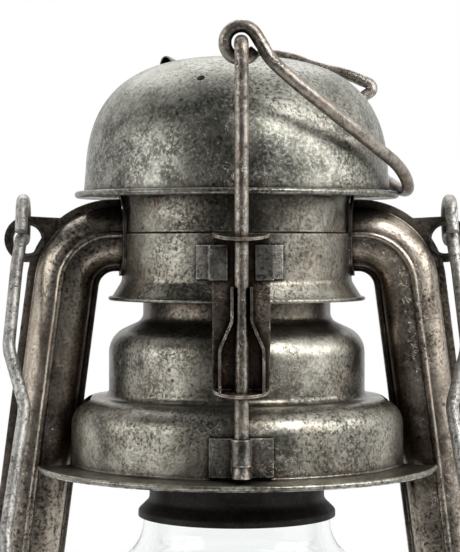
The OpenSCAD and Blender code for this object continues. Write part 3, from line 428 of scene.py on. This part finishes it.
# Painted light: the globe plate's tones are the tin's lifted by about a fifth, against the shade under the
# skirt
LIFTED_PLATE_TIN = [(0.1, 0.096, 0.08), (0.31, 0.294, 0.24), (0.6, 0.578, 0.5)]
GUIDE_TIN = [(0.11, 0.09, 0.071), (0.26, 0.21, 0.165), (0.46, 0.4, 0.335)]
CLIP_TIN = [(0.12, 0.112, 0.098), (0.31, 0.294, 0.254), (0.56, 0.54, 0.48)]
DARK_TIN = [(0.05, 0.046, 0.04), (0.12, 0.11, 0.1), (0.22, 0.2, 0.18)]
SOOT = [(0.003, 0.003, 0.002), (0.007, 0.006, 0.005), (0.06, 0.05, 0.038)]
WIRE = [(0.26, 0.25, 0.23), (0.48, 0.465, 0.43), (0.74, 0.725, 0.685)]
ROD_WIRE = [(0.13, 0.112, 0.094), (0.31, 0.275, 0.235), (0.56, 0.52, 0.46)]
BRASS = [(0.16, 0.115, 0.055), (0.34, 0.26, 0.13), (0.55, 0.44, 0.24)]
SOOT_STAIN = (0.03, 0.02, 0.013)
ROD_STAIN = (0.24, 0.15, 0.1)
BRASS_STAIN = (0.12, 0.1, 0.06)
# Painted shade: this wider reach of the corner shade darkens necks and sides that face the body, along
# with dirt
WIDE_GRIME_AND_SHADE = 20 * MM

tin = old_metal("tin", TIN)
chimney_tin = old_metal("chimney_tin", TIN, grime_and_shade_reach=WIDE_GRIME_AND_SHADE)
lifted_plate_tin = old_metal("lifted_plate_tin", LIFTED_PLATE_TIN, grime_and_shade=0.85, grime_and_shade_reach=WIDE_GRIME_AND_SHADE)
hood_tin = old_metal(
    "hood_tin", HOOD_TIN, stain_share=0.25, speck=0.9, salt_share=0.6, dust=0.45,
    rough=(0.3, 0.48), move=(0.07, 0.02, 0.01),
)
# Painted shade: a strong, wide corner shade darkens the tubes' inner sides, which face the lantern's body
tube_tin = old_metal(
    "tube_tin", TUBE_TIN, stain_share=0.55, cloud=30, curl=0.4, speck=0.78,
    grime_and_shade=0.9, grime_and_shade_reach=WIDE_GRIME_AND_SHADE, rough=(0.27, 0.44), move=(0.2, 0, 0), metallic=0.95,
)
guide_tin = old_metal("guide_tin", GUIDE_TIN, stain_share=0.8, grime_and_shade=0.55, edge=1, rust=0.4)
clip_tin = old_metal("clip_tin", CLIP_TIN, stain_share=0.4, edge=1, rust=0.75)
dark_tin = old_metal("dark_tin", DARK_TIN, move=(0, 0.3, 0))
soot = old_metal(
    "soot", SOOT, stain=SOOT_STAIN, curl=0.3, speck=0.8, edge=0.15, rust=0.2,
    rough=(0.5, 0.75), metallic=0.4,
)
wire = old_metal(
    "wire", WIRE, stain_share=0.3, cloud=70, curl=0.75, speck=0.6, grime_and_shade=0.6, edge=0, rust=0.2,
    rough=(0.46, 0.62), metallic=0.8, depth=0.3 * MM,
)
rod_wire = old_metal(
    "rod_wire", ROD_WIRE, stain=ROD_STAIN, stain_share=0.7, cloud=80, speck=0.5, grime_and_shade=0.35,
    edge=0.3, rust=0.5, rough=(0.3, 0.48), depth=0.25 * MM,
)
brass = old_metal(
    "brass", BRASS, stain=BRASS_STAIN, stain_share=0.6, cloud=50, curl=0.25, speck=0.3, rust=0,
    rough=(0.28, 0.5), depth=0.2 * MM,
)

# Glass: clear, a little wavy, with a few seeds and smears

GLASS_TINT = (0.97, 0.985, 0.98)
GLASS_IOR = 1.3
WAVE_SCALE, SEED_SCALE, SMEAR_SCALE = 26, 160, (60, 60, 22)
WAVE_BUMP, WAVE_DEPTH = 0.1, 1.2 * MM
SMEAR_ROUGH = 0.12


def make_glass():
    material, g = new_material("glass")
    where = g.coords()
    waves = g.noise(where, WAVE_SCALE, 2, 0.4)
    seeds = g.span(g.cells(where, SEED_SCALE), 0.06, 0)
    normal = g.bump(g.math("ADD", waves, seeds), WAVE_BUMP, WAVE_DEPTH)
    smears = g.span(g.noise(g.coords(SMEAR_SCALE), 1, 4, 0.6), 0.5, 0.8, 0, SMEAR_ROUGH)
    g.surface(Base_Color=GLASS_TINT, Transmission_Weight=1, IOR=GLASS_IOR, Roughness=smears, Normal=normal)
    return material


glass = make_glass()

# Gasket: matte brown fibre

GASKET_DARK, GASKET_LIGHT = (0.09, 0.055, 0.032), (0.26, 0.17, 0.1)
FIBRE_SCALE = 900
FIBRE_BUMP, FIBRE_DEPTH = 0.5, 0.3 * MM


def make_gasket():
    material, g = new_material("gasket")
    fibre = g.noise(g.coords(), FIBRE_SCALE, 4, 0.7)
    colour = g.mix(g.span(fibre, 0.3, 0.7), GASKET_DARK, GASKET_LIGHT)
    roughness = g.span(fibre, 0.3, 0.7, 0.6, 0.9)
    g.surface(Base_Color=colour, Roughness=roughness, Normal=g.bump(fibre, FIBRE_BUMP, FIBRE_DEPTH))
    return material


gasket = make_gasket()

# Looks of the CAD nodes

LOOKS = {
    hood_tin: ["hood"],
    tin: ["tank_bottom", "tank_top", "filler_neck", "air_chamber", "burner_plate"],
    chimney_tin: ["chimney"],
    lifted_plate_tin: ["globe_plate"],
    guide_tin: ["front_guide", "rear_guide"],
    clip_tin: ["front_guide_saddle", "rear_guide_saddle", "front_rod_clip", "rear_rod_clip"],
    tube_tin: ["left_tube_front", "left_tube_back", "right_tube_front", "right_tube_back"],
    dark_tin: ["left_tube_collar", "right_tube_collar", "chimney_floor", "inner_flue", "hood_stays"],
    soot: ["globe_collar"],
    wire: ["bail", "front_guard", "rear_guard", "wick_shaft"],
    rod_wire: ["front_lift_rod", "rear_lift_rod", "front_guide_spring", "rear_guide_spring"],
    brass: ["burner_collar", "burner_cone", "wick_tube", "wick_knob", "filler_cap"],
    glass: ["globe"],
    gasket: ["cap_gasket"],
}
WELD_GAP = 0.002 * MM
EDGE_ANGLE = math.radians(32)


def smooth(part):
    """Joins the tessellation's split corners, and keeps true edges sharp."""
    part.data.shade_smooth()
    weld = part.modifiers.new("weld", "WELD")
    weld.merge_threshold = WELD_GAP
    split = part.modifiers.new("edges", "EDGE_SPLIT")
    split.split_angle = EDGE_ANGLE


for material, names in LOOKS.items():
    for name in names:
        part = nodes[name]
        part.data.materials.clear()
        part.data.materials.append(material)
        smooth(part)


def mesh_object(bm, name, material):
    """A smooth object of one material from loose faces."""
    bmesh.ops.recalc_face_normals(bm, faces=bm.faces)
    mesh = bpy.data.meshes.new(name)
    bm.to_mesh(mesh)
    bm.free()
    mesh.shade_smooth()
    mesh.materials.append(material)
    made = bpy.data.objects.new(name, mesh)
    scene.collection.objects.link(made)
    return made


# Wick: a flat woven strip, oily below and charred at the top

WICK_ROWS, WICK_STEPS, WICK_RIBS = 170, 40, 10
WICK_EDGE_POWER = 8
# Shares of the thickness that the ribs and the cross threads take
RIB_SHARE, PICK_SHARE = 0.13, 0.07
FRAY, FRAY_WAVES, FRAY_SHIFT = 0.6 * MM, 17, 3
YARN_DARK, YARN_LIGHT, OIL = (0.42, 0.36, 0.26), (0.72, 0.66, 0.53), (0.3, 0.22, 0.1)
YARN_SCALE = (900, 900, 2400)
YARN_BUMP, YARN_DEPTH = 0.6, 0.3 * MM
# Depths below the wick's top: oil from clean to soaked, char from none to full
OIL_CLEAN, OIL_SOAKED = 1 * MM, 14 * MM
OIL_SHARE = 0.45
CHAR_NONE, CHAR_FULL = 1.2 * MM, -0.8 * MM
CHAR_RAGGED = 3 * MM


def make_cotton(top_z):
    material, g = new_material("cotton")
    yarn = g.noise(g.coords(YARN_SCALE), 1, 3, 0.6)
    z = g.axes(g.coords())["Z"]
    ragged_z = g.math("ADD", z, g.math("MULTIPLY", yarn, CHAR_RAGGED))
    oily = g.span(z, top_z - OIL_CLEAN, top_z - OIL_SOAKED)
    char = g.span(ragged_z, top_z - CHAR_NONE, top_z - CHAR_FULL)
    colour = g.mix(g.span(yarn, 0.3, 0.7), YARN_DARK, YARN_LIGHT)
    colour = g.cover(colour, oily, OIL_SHARE, OIL)
    colour = g.mix(char, colour, BLACK)
    roughness = g.span(yarn, 0.2, 0.8, 0.75, 0.95)
    g.surface(Base_Color=colour, Roughness=roughness, Normal=g.bump(yarn, YARN_BUMP, YARN_DEPTH))
    return material


def weave(s, row):
    """Share of the full thickness at s, from -1 to 1 across the wick: round edges, ribs, cross threads."""
    round_edge = math.sqrt(max(0, 1 - abs(s) ** WICK_EDGE_POWER))
    rib = 0.5 + 0.5 * math.cos(s * math.pi * WICK_RIBS)
    pick = 0.5 + 0.5 * math.cos(math.pi * row + math.pi * round((s + 1) * WICK_RIBS / 2))
    return round_edge * (1 - RIB_SHARE * (1 - rib) - PICK_SHARE * (1 - pick))


def make_wick():
    low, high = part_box("wick")
    half_t, half_w = (high.x - low.x) / 2, (high.y - low.y) / 2
    bm = bmesh.new()
    rings = []
    for k in range(WICK_ROWS + 1):
        z = low.z + (high.z - low.z) * k / WICK_ROWS
        fray = FRAY if k == WICK_ROWS else 0
        ring = []
        for side in (1, -1):
            for i in range(WICK_STEPS + 1):
                s = (i / WICK_STEPS * 2 - 1) * side
                drop = fray * abs(math.sin(FRAY_WAVES * s + FRAY_SHIFT * side))
                ring.append(bm.verts.new((side * half_t * weave(s, k), s * half_w, z - drop)))
        rings.append(ring)
    count = len(rings[0])
    for a, b in zip(rings, rings[1:]):
        for i in range(count):
            j = (i + 1) % count
            bm.faces.new((a[i], a[j], b[j], b[i]))
    bm.faces.new(rings[-1])
    bm.faces.new(rings[0][::-1])
    part = mesh_object(bm, "woven_wick", make_cotton(high.z))
    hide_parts("wick")
    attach(part, "wick")


make_wick()

# Lift bow: one bent wire from the front eye, over the brim's right edge, to the rear eye, in millimetres

BOW_WIRE_R = 1.7
BOW_ROUNDNESS, BOW_STEPS = 6, 8
EYE_R = 4.1
EYE_FREE_Y, EYE_TOP_Y = -43.9, -46
EYE_FREE_TURN, EYE_TOP_TURN, EYE_STEP = -30, -300, -30
BOW_FRONT = [
    (5, -46.5, 263), (7, -47, 259.5), (10.5, -46.5, 256), (21.5, -42, 247.5),
    (35.5, -29, 238), (43.5, -17.5, 232.5), (47, -5, 227.5),
]
BOW_REAR = [
    (45, 8, 228.5), (38.5, 27, 237.5), (36, 37, 250), (38.5, 40, 256), (41.5, 40.5, 259),
    (38, 41, 261.5), (25, 43, 265.5), (13.5, 44.5, 269), (4, 45.5, 268.5),
]


def bow_eye(hinge_z):
    """Open ring round the front rod's hook, from its free end under the hook and up over the top."""
    count = (EYE_TOP_TURN - EYE_FREE_TURN) // EYE_STEP
    ring = []
    for k in range(count + 1):
        turn = math.radians(EYE_FREE_TURN + EYE_STEP * k)
        y = EYE_FREE_Y + (EYE_TOP_Y - EYE_FREE_Y) * k / count
        ring.append((EYE_R * math.cos(turn), y, hinge_z + EYE_R * math.sin(turn)))
    return ring


def make_bow():
    hinge = next(j for j in frame["joints"] if j["name"] == "bow_swing")
    front_eye = bow_eye(hinge["pos_m"][2] / MM)
    rear_eye = [(x, -y, z) for x, y, z in reversed(front_eye[:-1])]
    route = front_eye + BOW_FRONT + BOW_REAR + rear_eye
    data = bpy.data.curves.new("bow_wire", "CURVE")
    data.dimensions = "3D"
    data.bevel_depth = BOW_WIRE_R * MM
    data.bevel_resolution = BOW_ROUNDNESS
    data.resolution_u = BOW_STEPS
    data.use_fill_caps = True
    line = data.splines.new("BEZIER")
    line.bezier_points.add(len(route) - 1)
    for point, at in zip(line.bezier_points, route):
        point.co = Vector(at) * MM
        point.handle_left_type = point.handle_right_type = "AUTO"
    bow = bpy.data.objects.new("bow_wire", data)
    scene.collection.objects.link(bow)
    data.materials.append(rod_wire)
    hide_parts("lift_bow")
    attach(bow, "lift_bow")


make_bow()

# Vent lip: the raised edge of the hood's rear vent

VENT_TURN, VENT_REACH = math.radians(166), 19 * MM
LIP_W, LIP_L, LIP_RISE, LIP_SHEET = 5.6 * MM, 4.8 * MM, 2.4 * MM, 0.4 * MM
LIP_UPHILL, LIP_SUNK = 2.4 * MM, 0.35 * MM
LIP_TURN = math.radians(55)
LIP_ROOT_SHARE = 0.6
LIP_ARCH_POWER, LIP_LIFT_POWER = 0.8, 1.4
LIP_ROWS, LIP_STEPS = 10, 16
DROP_HEIGHT = 10 * MM


def lip_seat():
    """Where the lip's root lies on the hood, the hood's normal there, and the way that the lip points."""
    hood = nodes["hood"].data
    tree = BVHTree.FromPolygons([v.co for v in hood.vertices], [tuple(p.vertices) for p in hood.polygons])
    out = Vector((math.cos(VENT_TURN), math.sin(VENT_TURN), 0))
    above = out * (VENT_REACH - LIP_UPHILL)
    above.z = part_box("hood")[1].z + DROP_HEIGHT
    root, normal, _, _ = tree.ray_cast(above, Vector((0, 0, -1)))
    along = (out - normal * out.dot(normal)).normalized()
    along.rotate(Quaternion(normal, LIP_TURN))
    return root, normal, along


def make_vent_lip():
    root, normal, along = lip_seat()
    side = normal.cross(along)
    bm = bmesh.new()
    rows = []
    for k in range(LIP_ROWS + 1):
        v = k / LIP_ROWS
        half = LIP_W / 2 * (LIP_ROOT_SHARE + (1 - LIP_ROOT_SHARE) * v)
        lift = LIP_RISE * math.sin(v * math.pi / 2) ** LIP_LIFT_POWER
        row = []
        for i in range(LIP_STEPS + 1):
            u = i / LIP_STEPS * 2 - 1
            height = lift * max(0, 1 - u * u) ** LIP_ARCH_POWER - LIP_SUNK
            row.append(bm.verts.new(root + along * (v * LIP_L) + side * (u * half) + normal * height))
        rows.append(row)
    for a, b in zip(rows, rows[1:]):
        for i in range(LIP_STEPS):
            bm.faces.new((a[i], a[i + 1], b[i + 1], b[i]))
    lip = mesh_object(bm, "vent_lip", hood_tin)
    solid = lip.modifiers.new("sheet", "SOLIDIFY")
    solid.thickness = LIP_SHEET
    solid.offset = 0
    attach(lip, "frame")


make_vent_lip()
